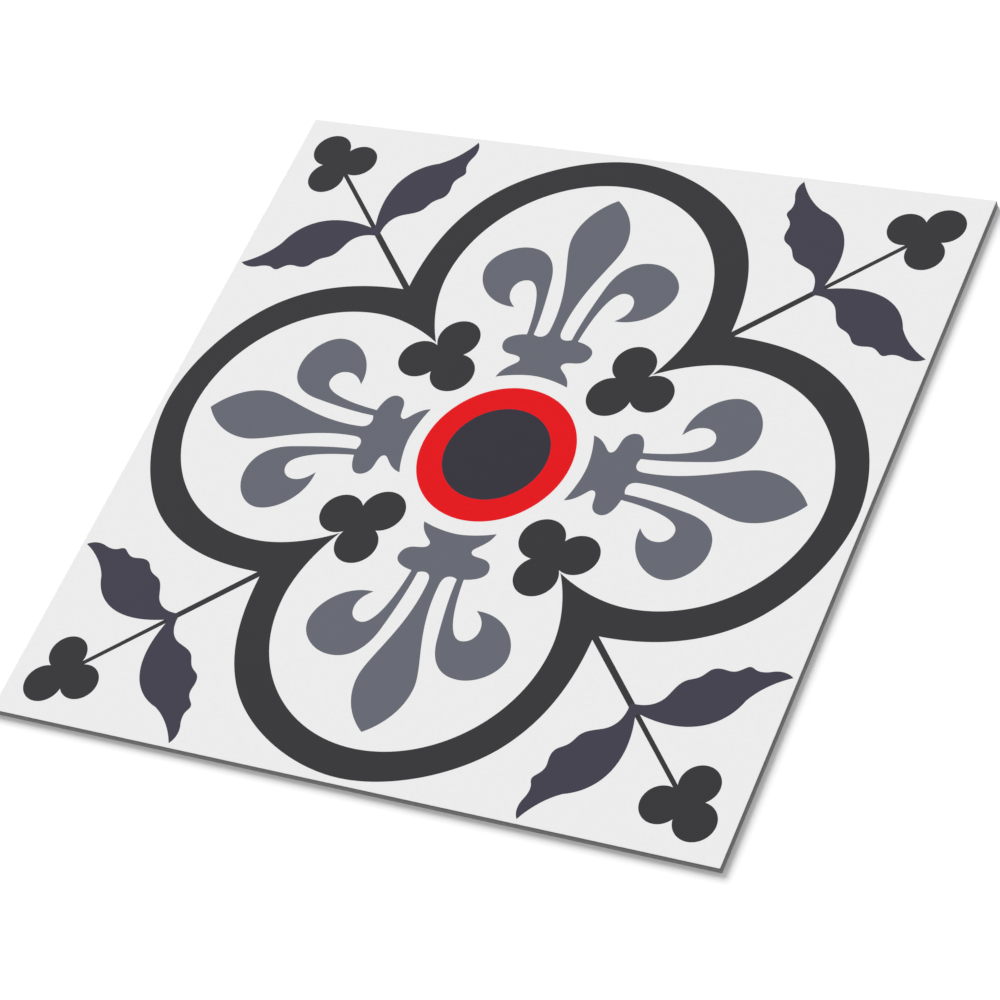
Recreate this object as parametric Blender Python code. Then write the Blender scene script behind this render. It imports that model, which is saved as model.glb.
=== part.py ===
"""A square vinyl floor tile, lying flat on the floor with its printed wear face up.

The tile is one piece of filled PVC sheet, cut to a square by a die. Its underside is plain, because
it is glued down all over. The four edges stand square to the face, so that neighbours butt together
with closed joints, and only the upper arris and the four corners are eased.

Units are metres and +Z is up. The origin is the middle of the underside, and the edges run along X and Y.
"""

import bmesh
import bpy

COLLECTION_NAME = "vinyl_floor_tile"
TILE_NAME = "vinyl_tile"

# Driving dimensions
TILE_SIDE = 0.305
TILE_THICKNESS = 0.003
CORNER_RADIUS = 0.0005
ARRIS_RADIUS = 0.0003

# Facets on the rounded corners and on the eased arris
CORNER_SEGMENTS = 6
ARRIS_SEGMENTS = 4

# Surface of the printed face: a pale grey ground under a clear satin wear layer
GROUND_COLOUR = (0.838, 0.838, 0.838, 1.0)
SATIN_ROUGHNESS = 0.42
PVC_IOR = 1.53


def clear_scene():
    """Removes the objects and collections that the scene starts with."""
    for leftover in list(bpy.data.objects):
        bpy.data.objects.remove(leftover, do_unlink=True)
    for leftover in list(bpy.data.collections):
        bpy.data.collections.remove(leftover)


def printed_vinyl():
    """The tile's one material, with the colour of the print's ground."""
    material = bpy.data.materials.new("printed_vinyl")
    material.use_nodes = True
    surface = material.node_tree.nodes["Principled BSDF"]
    surface.inputs["Base Color"].default_value = GROUND_COLOUR
    surface.inputs["Roughness"].default_value = SATIN_ROUGHNESS
    surface.inputs["Metallic"].default_value = 0.0
    surface.inputs["IOR"].default_value = PVC_IOR
    return material


def vertical_edges(sheet):
    """The edges that run up through the sheet's thickness, one at each corner."""
    return [edge for edge in sheet.edges if edge.verts[0].co.z != edge.verts[1].co.z]


def upper_rim(sheet):
    """The edges round the wear face, which is the only face whose normal points up."""
    wear_face = max(sheet.faces, key=lambda face: face.calc_center_median().z)
    return list(wear_face.edges)


def round_edges(sheet, edges, radius, segments):
    """Rolls a fillet of this radius along the edges."""
    bmesh.ops.bevel(
        sheet,
        geom=edges,
        offset=radius,
        offset_type="OFFSET",
        segments=segments,
        profile=0.5,
        affect="EDGES",
        clamp_overlap=True,
    )


def tile_mesh():
    """The die-cut square: a flat slab, with its corners and then its upper arris rounded."""
    sheet = bmesh.new()
    bmesh.ops.create_cube(sheet, size=1.0)
    bmesh.ops.scale(sheet, vec=(TILE_SIDE, TILE_SIDE, TILE_THICKNESS), verts=sheet.verts)
    bmesh.ops.translate(sheet, vec=(0.0, 0.0, TILE_THICKNESS / 2), verts=sheet.verts)
    round_edges(sheet, vertical_edges(sheet), CORNER_RADIUS, CORNER_SEGMENTS)
    round_edges(sheet, upper_rim(sheet), ARRIS_RADIUS, ARRIS_SEGMENTS)
    mesh = bpy.data.meshes.new(TILE_NAME)
    sheet.to_mesh(mesh)
    sheet.free()
    return mesh


clear_scene()

tile_collection = bpy.data.collections.new(COLLECTION_NAME)
bpy.context.scene.collection.children.link(tile_collection)

tile = bpy.data.objects.new(TILE_NAME, tile_mesh())
tile.data.materials.append(printed_vinyl())
tile_collection.objects.link(tile)
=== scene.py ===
"""A square vinyl floor tile, lying on a pale floor and seen from above, over one of its corners.

The tile is a sheet of mineral-filled PVC with a printed film bonded over it. The print is a traditional
pattern of encaustic floor tiles: a quatrefoil band round four fleurs-de-lis, trefoils and a ringed disc,
with a leaf sprig in each corner. Each ink is a thin flush piece of the film, and ends on a crisp edge.

Sizes and outlines are in millimetres, and the middle of the tile is at 0. Blender works in metres, so MM
turns a size into metres where a mesh, a texture or a place takes it.
"""

import math

import bmesh
import bpy
from mathutils import Matrix, Vector
from mathutils.geometry import delaunay_2d_cdt, interpolate_bezier


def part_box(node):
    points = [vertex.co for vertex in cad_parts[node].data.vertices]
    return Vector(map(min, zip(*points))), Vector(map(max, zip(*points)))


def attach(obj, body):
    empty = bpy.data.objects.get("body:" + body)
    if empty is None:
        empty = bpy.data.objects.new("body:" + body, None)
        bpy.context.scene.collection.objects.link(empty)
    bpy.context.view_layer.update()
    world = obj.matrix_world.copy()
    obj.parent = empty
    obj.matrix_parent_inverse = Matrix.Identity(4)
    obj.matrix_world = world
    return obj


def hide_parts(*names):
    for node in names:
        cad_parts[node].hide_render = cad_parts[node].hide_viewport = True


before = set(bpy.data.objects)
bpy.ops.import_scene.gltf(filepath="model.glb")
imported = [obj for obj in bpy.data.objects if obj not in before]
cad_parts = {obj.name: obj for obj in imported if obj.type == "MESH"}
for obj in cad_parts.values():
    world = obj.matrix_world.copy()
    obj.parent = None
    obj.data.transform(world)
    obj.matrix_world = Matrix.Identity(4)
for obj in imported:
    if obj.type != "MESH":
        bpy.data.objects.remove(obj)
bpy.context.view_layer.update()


# The vinyl body: PVC filled with ground limestone, calendered to a sheet and cut square by a steel die.
# Its grey shows only at the cut edges and on the underside, which is glued down. Its corners are rounded.
MM = 0.001
tile_low, tile_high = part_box("vinyl_tile")
UNDERSIDE = tile_low.z / MM
WEAR_FACE = tile_high.z / MM
HALF_SIDE = tile_high.x / MM
CORNER_RADIUS = 0.5
CORNER_STEPS = 6
FILM_DEPTH = 0.4
BODY_TOP = WEAR_FACE - FILM_DEPTH


def turned(outline, quarters):
    """The outline after this many quarter turns, clockwise, round the middle of the tile."""
    for _ in range(quarters):
        outline = [(y, -x) for x, y in outline]
    return outline


def tile_outline(inset):
    """The square that the die cuts, with its round corners, drawn in by this much all round."""
    centre = HALF_SIDE - CORNER_RADIUS
    radius = CORNER_RADIUS - inset
    angles = [math.pi / 2 * step / CORNER_STEPS for step in range(CORNER_STEPS + 1)]
    corner = [(centre + radius * math.sin(a), centre + radius * math.cos(a)) for a in angles]
    return [point for quarters in range(4) for point in turned(corner, quarters)]


def anticlockwise(outline):
    """The outline, turned to run anticlockwise, which is how a triangulation tells its inside."""
    doubled_area = sum(a[0] * b[1] - b[0] * a[1] for a, b in zip(outline, outline[1:] + outline[:1]))
    return outline if doubled_area > 0 else outline[::-1]


# The triangulation keeps only what lies inside an outline, and merges points closer than the distance
TRIANGLES_INSIDE = 1
MERGE_DISTANCE = 0.0001


def fill(area, inked):
    """The points and triangles of one area of the face, less what the inked areas cover already.

    An area is a pair: the outlines that it fills, which may overlap, and the outlines left out of it.
    """
    corners = []
    loops = []
    owners = []
    for number, (filled, left_out) in enumerate([area, *inked]):
        for outlines, is_gap in ((filled, False), (left_out, True)):
            for outline in outlines:
                loops.append(range(len(corners), len(corners) + len(outline)))
                corners.extend(Vector(point) for point in anticlockwise(outline))
                owners.append((number, is_gap))
    points, _, triangles, _, _, enclosing = delaunay_2d_cdt(
        corners, [], loops, TRIANGLES_INSIDE, MERGE_DISTANCE
    )
    kept = []
    for triangle, around in zip(triangles, enclosing):
        outlines_round_it = [owners[loop] for loop in around]
        filled_by = {number for number, is_gap in outlines_round_it if not is_gap}
        gap_of = {number for number, is_gap in outlines_round_it if is_gap}
        if filled_by - gap_of == {0}:
            kept.append(triangle)
    return points, kept


# A face looks along an axis when that part of its unit normal is at least this
SQUARE_ON = 0.9999


def shade_rounded(made):
    """Shades the faces of rounded edges smooth, and leaves the faces that look along an axis flat."""
    for face in made.faces:
        face.normal_update()
        face.smooth = max(abs(part) for part in face.normal) < SQUARE_ON


def level(x, y):
    """The drop of a level upper face, which is none at any point."""
    return 0


def slab(name, flat, bottom, top, material, drop=level):
    """One closed piece of the tile: a flat area of the face, raised from one height to another.

    Its upper face lies below the top height by the drop at each point.
    """
    points, triangles = flat
    made = bmesh.new()
    corners = [made.verts.new((x * MM, y * MM, bottom * MM)) for x, y in points]
    for triangle in triangles:
        made.faces.new([corners[corner] for corner in triangle])
    unused = [corner for corner in made.verts if not corner.link_faces]
    bmesh.ops.delete(made, geom=unused, context="VERTS")
    raised = bmesh.ops.extrude_face_region(made, geom=made.faces[:])["geom"]
    for part in raised:
        if isinstance(part, bmesh.types.BMVert):
            part.co.z = (top - drop(part.co.x / MM, part.co.y / MM)) * MM
    bmesh.ops.recalc_face_normals(made, faces=made.faces[:])
    shade_rounded(made)
    mesh = bpy.data.meshes.new(name)
    made.to_mesh(mesh)
    made.free()
    mesh.materials.append(material)
    piece = bpy.data.objects.new(name, mesh)
    bpy.context.scene.collection.objects.link(piece)
    return piece


def colour(hex_code):
    """An sRGB hex colour as the linear colour that a shader takes, by the sRGB standard's own curve."""
    levels = [int(hex_code[start : start + 2], 16) / 255 for start in (1, 3, 5)]
    linear = [v / 12.92 if v <= 0.04045 else ((v + 0.055) / 1.055) ** 2.4 for v in levels]
    return (*linear, 1.0)


def node(tree, kind, inputs, **settings):
    """Adds a node with its settings. Each input is a value, or the socket that is linked to it."""
    added = tree.nodes.new(kind)
    for name, value in settings.items():
        setattr(added, name, value)
    for name, value in inputs.items():
        if isinstance(value, bpy.types.NodeSocket):
            tree.links.new(value, added.inputs[name])
        else:
            added.inputs[name].default_value = value
    return added


# The cut edge's greys: dark at its top, partly for the burnish and partly as painted shade, and paler at
# its foot, with less painted shade
BURNISHED_SHADED_GREY = colour("#606061")
BROKEN_LESS_SHADED_GREY = colour("#969697")
PVC_IOR = 1.53

# A noise texture runs from 0 to 1, but nearly all of it lies between these
NOISE_LOW = 0.3
NOISE_HIGH = 0.7


def filled_pvc():
    """Mineral-filled PVC, calendered and die-cut: dull grey, with drag lines down its cut edges.

    The blade burnishes the upper part of a cut edge smoother, and there it is painted dark, partly for
    the burnish and partly as painted shade. Lower down the sheet breaks away, dull and paler, with less
    painted shade, and the dark fades out at an uneven depth. The larger grains of the filler show as
    faint specks. They and the drag lines are drawn coarser than they are, to show at all.
    """
    speck_width = 0.5
    speck_contrast = 0.07
    drag_line_spacing = 0.8
    drag_line_length = 12.0
    drag_line_depth = 0.03
    burnish_and_shade_waver = 0.8
    burnished_roughness = 0.5
    broken_roughness = 0.75

    material = bpy.data.materials.new("filled_pvc_die_cut")
    material.use_nodes = True
    tree = material.node_tree
    surface = tree.nodes["Principled BSDF"]
    place = node(tree, "ShaderNodeTexCoord", {}).outputs["Object"]
    across = 1 / (drag_line_spacing * MM)
    down = 1 / (drag_line_length * MM)
    dragged = node(tree, "ShaderNodeMapping", {"Vector": place, "Scale": (across, across, down)})
    lines = node(
        tree, "ShaderNodeTexNoise", {"Vector": dragged.outputs["Vector"], "Scale": 1.0, "Detail": 2.0}
    )

    # The lines lift the height that the burnish and the painted shade go by, on average by half of the
    # waver
    mean_lift = burnish_and_shade_waver / 2
    height = node(tree, "ShaderNodeSeparateXYZ", {"Vector": place}).outputs["Z"]
    uneven_height = node(
        tree,
        "ShaderNodeMath",
        {0: lines.outputs["Fac"], 1: burnish_and_shade_waver * MM, 2: height},
        operation="MULTIPLY_ADD",
    )
    # How far down the cut edge a point is: the burnish and the painted shade fade out along it, and the
    # edge turns paler
    broken_and_less_shaded = node(
        tree,
        "ShaderNodeMapRange",
        {
            "Value": uneven_height.outputs["Value"],
            "From Min": (BODY_TOP + mean_lift) * MM,
            "From Max": (UNDERSIDE + mean_lift) * MM,
        },
    ).outputs["Result"]
    # The cut edge's colour: darker at the top with painted shade, paler towards the foot
    grey = node(
        tree, "ShaderNodeMixRGB", {"Fac": broken_and_less_shaded, "Color1": BURNISHED_SHADED_GREY, "Color2": BROKEN_LESS_SHADED_GREY}
    )
    specks = node(
        tree, "ShaderNodeTexNoise", {"Vector": place, "Scale": 1 / (speck_width * MM), "Detail": 3.0}
    )
    tone = node(
        tree,
        "ShaderNodeMapRange",
        {
            "Value": specks.outputs["Fac"],
            "From Min": NOISE_LOW,
            "From Max": NOISE_HIGH,
            "To Min": 1 - speck_contrast,
            "To Max": 1 + speck_contrast,
        },
    )
    specked = node(
        tree, "ShaderNodeHueSaturation", {"Color": grey.outputs["Color"], "Value": tone.outputs["Result"]}
    )
    dullness = node(
        tree,
        "ShaderNodeMapRange",
        {"Value": broken_and_less_shaded, "To Min": burnished_roughness, "To Max": broken_roughness},
    )
    relief = node(
        tree, "ShaderNodeBump", {"Height": lines.outputs["Fac"], "Distance": drag_line_depth * MM}
    )
    tree.links.new(specked.outputs["Color"], surface.inputs["Base Color"])
    tree.links.new(dullness.outputs["Result"], surface.inputs["Roughness"])
    tree.links.new(relief.outputs["Normal"], surface.inputs["Normal"])
    surface.inputs["IOR"].default_value = PVC_IOR
    return material


body_area = ([tile_outline(0)], [])
body = slab("vinyl_body", fill(body_area, []), UNDERSIDE, BODY_TOP, filled_pvc())
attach(body, "root")
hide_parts("vinyl_tile")


# The quatrefoil band: charcoal ink, gravure-printed on the film. Four round lobes meet in sharp notches
# outside and in cusps inside, and the band is broadest where they meet. A clear satin coat lies over it.
OUTLINE_STEP = 0.8


def curve(start, *spans):
    """An outline through Bezier spans (handle, handle, end) and straight runs, given by their end point."""
    outline = [Vector(start)]
    for span in spans:
        if len(span) == 2:
            outline.append(Vector(span))
            continue
        cage = [outline[-1], *(Vector(point) for point in span)]
        length = sum((b - a).length for a, b in zip(cage, cage[1:]))
        steps = math.ceil(length / OUTLINE_STEP)
        outline.extend(interpolate_bezier(*cage, steps + 1)[1:])
    return [(point.x, point.y) for point in outline]


def both_sides(half):
    """An outline that is alike on both sides of the Y axis, from its right half, clockwise from the top."""
    return [(-x, y) for x, y in reversed(half) if x > 0] + half


def four_round(outline):
    """The same outline on all four sides of the tile."""
    return [turned(outline, quarters) for quarters in range(4)]


def joined_round(outline):
    """One closed outline, from a stretch of it that repeats on the four sides of the tile."""
    return [point for side in four_round(outline[:-1]) for point in side]


outer_lobe = curve(
    (0, 149.6),
    ((20.3, 149.6), (42.9, 138.9), (55.1, 124.5)),
    ((66.5, 110.8), (71.4, 93.0), (71.0, 71.0)),
)
inner_lobe = curve(
    (0, 136.6),
    ((30.9, 136.6), (57.2, 111.6), (57.1, 79.5)),
    ((57.1, 68.3), (52.8, 56.4), (47.3, 47.3)),
)
band_area = ([joined_round(both_sides(outer_lobe))], [joined_round(both_sides(inner_lobe))])

inked_areas = []


def film_piece(name, area, material, drop=level):
    """One ink of the film, over all of its area that the inks before it leave free."""
    piece = slab(name, fill(area, inked_areas), BODY_TOP, WEAR_FACE, material, drop)
    inked_areas.append(area)
    return piece


def printed_film(name, ink):
    """Gravure-printed PVC film under a satin polyurethane coat: a flat, even colour with a soft sheen.

    The coat is pressed with a fine pebble, over a slight swell of the sheet. The print is thin, so the
    rounded cut edge shows the grey body below it, in the dark grey of the cut edge's top, which is
    partly painted shade. The pebble and the ink's grain are finer than a render can show, so both are
    drawn coarser, the grain as a faint mottle. The sheen lightens an ink, so each is written a little
    darker than it looks.
    """
    pebble_spacing = 1.1
    pebble_depth = 0.012
    swell_spacing = 9.0
    swell_depth = 0.02
    mottle_width = 1.6
    mottle_contrast = 0.01
    print_depth = 0.08
    print_fade = 0.032
    coat_roughness = 0.47
    roughness_waver = 0.03
    coat_specular_level = 0.12

    material = bpy.data.materials.new(name)
    material.use_nodes = True
    tree = material.node_tree
    surface = tree.nodes["Principled BSDF"]
    place = node(tree, "ShaderNodeTexCoord", {}).outputs["Object"]
    mottle = node(
        tree, "ShaderNodeTexNoise", {"Vector": place, "Scale": 1 / (mottle_width * MM), "Detail": 3.0}
    )
    tone = node(
        tree,
        "ShaderNodeMapRange",
        {
            "Value": mottle.outputs["Fac"],
            "From Min": NOISE_LOW,
            "From Max": NOISE_HIGH,
            "To Min": 1 - mottle_contrast,
            "To Max": 1 + mottle_contrast,
        },
    )
    inked = node(tree, "ShaderNodeHueSaturation", {"Color": colour(ink), "Value": tone.outputs["Result"]})
    height = node(tree, "ShaderNodeSeparateXYZ", {"Vector": place}).outputs["Z"]
    ink_share = node(
        tree,
        "ShaderNodeMapRange",
        {
            "Value": height,
            "From Min": (WEAR_FACE - print_depth - print_fade / 2) * MM,
            "From Max": (WEAR_FACE - print_depth + print_fade / 2) * MM,
        },
    )
    # Below the print, the rounded cut edge takes the cut edge's dark top grey, which is partly painted
    # shade
    layered = node(
        tree,
        "ShaderNodeMixRGB",
        {"Fac": ink_share.outputs["Result"], "Color1": BURNISHED_SHADED_GREY, "Color2": inked.outputs["Color"]},
    )
    pebble = node(
        tree, "ShaderNodeTexNoise", {"Vector": place, "Scale": 1 / (pebble_spacing * MM), "Detail": 2.0}
    )
    swell = node(
        tree, "ShaderNodeTexNoise", {"Vector": place, "Scale": 1 / (swell_spacing * MM), "Detail": 1.0}
    )
    wavy = node(
        tree, "ShaderNodeBump", {"Height": swell.outputs["Fac"], "Distance": swell_depth * MM}
    )
    pressed = node(
        tree,
        "ShaderNodeBump",
        {
            "Height": pebble.outputs["Fac"],
            "Distance": pebble_depth * MM,
            "Normal": wavy.outputs["Normal"],
        },
    )
    satin = node(
        tree,
        "ShaderNodeMapRange",
        {
            "Value": pebble.outputs["Fac"],
            "From Min": NOISE_LOW,
            "From Max": NOISE_HIGH,
            "To Min": coat_roughness - roughness_waver,
            "To Max": coat_roughness + roughness_waver,
        },
    )
    tree.links.new(layered.outputs["Color"], surface.inputs["Base Color"])
    tree.links.new(satin.outputs["Result"], surface.inputs["Roughness"])
    tree.links.new(pressed.outputs["Normal"], surface.inputs["Normal"])
    surface.inputs["IOR"].default_value = PVC_IOR
    surface.inputs["Specular IOR Level"].default_value = coat_specular_level
    return material


charcoal_print = printed_film("charcoal_gravure_print", "#343336")
band = film_piece("quatrefoil_band", band_area, charcoal_print)
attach(band, "root")


# The leaf sprigs: a pair of waved leaves across each notch of the band, in violet slate ink. The two
# leaves of a pair mirror each other over the tile's diagonal and join where the stem passes.

# The upper leaf at the tile's upper right corner, clockwise from its tip
leaf = curve(
    (73.0, 150.5),
    ((74.8, 146.8), (79.2, 140.5), (85.8, 136.9)),
    ((93.5, 134.4), (101.2, 127.4), (101.3, 113.5)),
    ((101.3, 108.0), (100.3, 104.0), (99.4, 100.4)),
    (99.6, 99.4),
    (96.2, 95.9),
    (95.6, 96.2),
    ((96.0, 100.5), (94.8, 105.6), (90.0, 107.9)),
    ((86.6, 109.4), (83.4, 110.0), (81.7, 113.0)),
    ((80.4, 115.7), (80.2, 116.9), (77.1, 118.8)),
    ((75.3, 119.9), (74.4, 121.7), (74.8, 124.9)),
    ((75.3, 128.0), (75.0, 129.2), (72.8, 131.6)),
    ((71.7, 132.7), (71.4, 133.6), (72.0, 134.9)),
    ((73.3, 136.8), (73.1, 139.5), (72.0, 142.1)),
    ((70.9, 144.9), (71.1, 148.2), (73.0, 150.5)),
)[:-1]


def over_diagonal(outline):
    """The outline mirrored over the diagonal of the tile, through its upper right corner."""
    return [(y, x) for x, y in outline]


leaf_area = (four_round(leaf) + four_round(over_diagonal(leaf)), [])
leaves = film_piece("leaf_pairs", leaf_area, printed_film("violet_slate_gravure_print", "#403E4B"))
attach(leaves, "root")


# The trefoils: each is three charcoal discs that overlap. Four sit on the band's inner cusps, and four
# stand on stems near the tile's corners. A stem grows out of the band and is thinner beyond the leaves.
def disc(x, y, radius):
    """A round outline."""
    steps = math.ceil(2 * math.pi * radius / OUTLINE_STEP)
    angles = [2 * math.pi * step / steps for step in range(steps)]
    return [(x + radius * math.cos(angle), y + radius * math.sin(angle)) for angle in angles]


def trefoil(side_disc, end_disc):
    """The outlines of a trefoil: a disc on each side of the diagonal, one on it, and the gap between them.

    Each disc is given as (x, y, radius).
    """
    discs = [side_disc, (side_disc[1], side_disc[0], side_disc[2]), end_disc]
    return [disc(*measures) for measures in discs] + [[measures[:2] for measures in discs]]


def on_diagonal(*stretch):
    """A bar along the diagonal, from (how far out each end is on X and Y, half the width there)."""
    sides = [(out, half / math.sqrt(2)) for out, half in stretch]
    left = [(out - half, out + half) for out, half in sides]
    return left + over_diagonal(left)[::-1]


inner_trefoil = trefoil((38.55, 50.8, 8.95), (34.27, 34.27, 9.27))
corner_trefoil = trefoil((122.2, 133.1, 7.95), (136.86, 136.86, 8.24))
lower_stem = on_diagonal((69.5, 1.34), (98.0, 1.28))
upper_stem = on_diagonal((98.0, 0.97), (127.0, 0.91))

inner_area = ([copy for outline in inner_trefoil for copy in four_round(outline)], [])
inner_trefoils = film_piece("inner_trefoils", inner_area, charcoal_print)
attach(inner_trefoils, "root")

stemmed = [*corner_trefoil, lower_stem, upper_stem]
corner_area = ([copy for outline in stemmed for copy in four_round(outline)], [])
corner_trefoils = film_piece("stemmed_trefoils", corner_area, charcoal_print)
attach(corner_trefoils, "root")


# The fleurs-de-lis: one in each lobe of the band, in slate ink. A pointed petal stands between two that
# curl outwards, over a collar with round ends and a spreading foot.

# The one in the upper lobe: its right half, from the point of the middle petal to the foot
fleur = both_sides(
    curve(
        (0, 129.3),
        ((6.2, 125.0), (12.0, 117.5), (12.0, 107.5)),
        ((12.0, 98.0), (2.0, 83.4), (2.5, 61.5)),
        ((2.6, 58.8), (3.8, 57.5), (6.0, 57.5)),
        ((7.0, 57.5), (7.8, 57.9), (8.4, 58.2)),
        ((8.6, 66.5), (10.3, 76.5), (11.8, 84.5)),
        ((13.0, 91.5), (16.6, 100.2), (27.2, 100.2)),
        ((35.0, 100.2), (42.5, 94.0), (42.5, 87.0)),
        ((42.5, 79.0), (34.0, 69.3), (22.0, 70.0)),
        ((24.8, 72.1), (26.8, 74.5), (26.8, 78.1)),
        ((26.8, 81.5), (24.5, 83.9), (21.4, 83.9)),
        ((16.2, 83.9), (12.7, 73.0), (11.2, 57.8)),
        ((15.4, 57.2), (19.4, 55.5), (19.4, 52.4)),
        ((19.4, 49.7), (17.6, 47.8), (14.8, 47.4)),
        ((12.0, 47.0), (9.1, 47.1), (9.1, 44.9)),
        ((9.1, 43.1), (14.5, 41.2), (15.6, 35.5)),
        ((11.9, 37.0), (5.2, 38.6), (0, 38.6)),
    )
)
fleur_area = (four_round(fleur), [])
fleurs = film_piece("fleurs_de_lis", fleur_area, printed_film("slate_gravure_print", "#656872"))
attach(fleurs, "root")


# The middle: a blue-black disc in a bright red ring, gravure-printed like the rest. The two inks meet
# edge to edge, and a margin of the pale ground keeps the ring clear of the motifs around it.
RING_RADIUS = 32.05
DISC_RADIUS = 21.76

disc_area = ([disc(0, 0, DISC_RADIUS)], [])
centre_disc = film_piece("centre_disc", disc_area, printed_film("blue_black_gravure_print", "#312F39"))
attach(centre_disc, "root")

ring_area = ([disc(0, 0, RING_RADIUS)], [disc(0, 0, DISC_RADIUS)])
ring = film_piece("red_ring", ring_area, printed_film("red_gravure_print", "#E21219"))
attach(ring, "root")


# The pale ground: all of the film that no ink covers, out to the cut edge. The die presses the film down
# a little as it cuts, which rounds the upper arris of the tile all the way round.
ARRIS_RADIUS = 0.3
ARRIS_STEPS = 4


def arris_drop(x, y):
    """How far the rounded arris lies below the wear face at a point of the film."""
    centre = HALF_SIDE - CORNER_RADIUS
    inset = CORNER_RADIUS - math.hypot(max(abs(x) - centre, 0), max(abs(y) - centre, 0))
    inward = max(ARRIS_RADIUS - inset, 0)
    return ARRIS_RADIUS - math.sqrt(max(ARRIS_RADIUS**2 - inward**2, 0))


insets = [
    ARRIS_RADIUS * (1 - math.sin(math.pi / 2 * step / ARRIS_STEPS)) for step in range(ARRIS_STEPS + 1)
]
ground_area = ([tile_outline(inset) for inset in insets], [])
ground = film_piece(
    "pale_ground", ground_area, printed_film("pale_grey_gravure_print", "#ECECEC"), arris_drop
)
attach(ground, "root")


# The floor: a matt board, painted near white, that the tile lies on. It keeps the tile's soft shadow and
# is white further off. It lies a hair below the underside, so that the two never share a plane.
FLOOR_HALF_WIDTH = 4000
FLOOR_GAP = 0.03
FLOOR_LIFT = 0.07


def seen_as_backdrop(tree):
    """1 where the camera, a reflection or a transparent piece sees it, and 0 where it only gives light."""
    path = node(tree, "ShaderNodeLightPath", {})
    seen = path.outputs["Is Camera Ray"]
    for kind in ("Is Glossy Ray", "Is Transmission Ray"):
        seen = node(
            tree, "ShaderNodeMath", {0: seen, 1: path.outputs[kind]}, operation="MAXIMUM"
        ).outputs["Value"]
    return seen


def matt_floor():
    """Matt painted board, without any gloss. What the camera sees of it is lifted a little, to white."""
    material = bpy.data.materials.new("matt_white_painted_board")
    material.use_nodes = True
    tree = material.node_tree
    surface = tree.nodes["Principled BSDF"]
    surface.inputs["Base Color"].default_value = colour("#FCFCFC")
    surface.inputs["Roughness"].default_value = 1.0
    surface.inputs["Specular IOR Level"].default_value = 0.0
    surface.inputs["Emission Color"].default_value = colour("#FFFFFF")
    lift = node(tree, "ShaderNodeMath", {0: seen_as_backdrop(tree), 1: FLOOR_LIFT}, operation="MULTIPLY")
    tree.links.new(lift.outputs["Value"], surface.inputs["Emission Strength"])
    return material


reach = FLOOR_HALF_WIDTH * MM
floor_mesh = bpy.data.meshes.new("studio_floor")
floor_mesh.from_pydata(
    [(-reach, -reach, 0), (reach, -reach, 0), (reach, reach, 0), (-reach, reach, 0)], [], [(0, 1, 2, 3)]
)
floor_mesh.materials.append(matt_floor())
floor = bpy.data.objects.new("studio_floor", floor_mesh)
floor.location.z = (UNDERSIDE - FLOOR_GAP) * MM
bpy.context.scene.collection.objects.link(floor)


# The light: a soft box beyond the tile, towards the picture's upper left, and a pale room that fills its
# shadow, which falls off within 7 mm of the near edges. Together they light a level face so that it
# renders at the colour it is written in.
KEY_AZIMUTH_DEG = 139.0
KEY_HEIGHT_DEG = 37.0
KEY_SPREAD_DEG = 35.0

# Shares of the light that falls on a level face
KEY_SHARE = 0.58
ROOM_SHARE = 1 - KEY_SHARE

# Straight overhead, a lamp of this strength lights a level face as a room of strength 1 does
OVERHEAD_ENERGY = math.pi


def towards(azimuth_deg, height_deg):
    """The direction this far round from the X axis, anticlockwise, and this far up from the level."""
    azimuth = math.radians(azimuth_deg)
    height = math.radians(height_deg)
    return Vector(
        (math.cos(azimuth) * math.cos(height), math.sin(azimuth) * math.cos(height), math.sin(height))
    )


to_key = towards(KEY_AZIMUTH_DEG, KEY_HEIGHT_DEG)
key_light = bpy.data.lights.new("soft_key", "SUN")
key_light.energy = OVERHEAD_ENERGY * KEY_SHARE / to_key.z
key_light.angle = math.radians(KEY_SPREAD_DEG)
key = bpy.data.objects.new("soft_key", key_light)
key.rotation_euler = to_key.to_track_quat("Z", "Y").to_euler()
# The satin coat mirrors only the even room, with no glare from the soft box
key.visible_glossy = False
bpy.context.scene.collection.objects.link(key)

room = bpy.data.worlds.new("pale_room")
room.use_nodes = True
room_light = room.node_tree.nodes["Background"]
room_light.inputs["Color"].default_value = colour("#FFFFFF")
room_strength = node(
    room.node_tree,
    "ShaderNodeMapRange",
    {"Value": seen_as_backdrop(room.node_tree), "To Min": ROOM_SHARE, "To Max": 1.0},
)
room.node_tree.links.new(room_strength.outputs["Result"], room_light.inputs["Strength"])
bpy.context.scene.world = room
bpy.context.scene.view_settings.view_transform = "Standard"


# The camera: through a long lens it looks down over the tile's near corner, at a point close to the
# middle. It is turned on its own axis, so that two of the tile's edges run nearly level in the picture.
CAMERA_AZIMUTH_DEG = -47.18
CAMERA_HEIGHT_DEG = 48.98
CAMERA_ROLL_DEG = 25.20
CAMERA_DISTANCE = 1303.2
CAMERA_LENS = 124.0
AIM_X = 10.4
AIM_Y = -20.3

to_camera = towards(CAMERA_AZIMUTH_DEG, CAMERA_HEIGHT_DEG)
lens = bpy.data.cameras.new("camera")
lens.lens = CAMERA_LENS
camera = bpy.data.objects.new("camera", lens)
camera.location = (Vector((AIM_X, AIM_Y, WEAR_FACE)) + to_camera * CAMERA_DISTANCE) * MM
upright = to_camera.to_track_quat("Z", "Y").to_matrix().to_4x4()
roll = Matrix.Rotation(-math.radians(CAMERA_ROLL_DEG), 4, "Z")
camera.rotation_euler = (upright @ roll).to_euler()
bpy.context.scene.collection.objects.link(camera)
bpy.context.scene.camera = camera
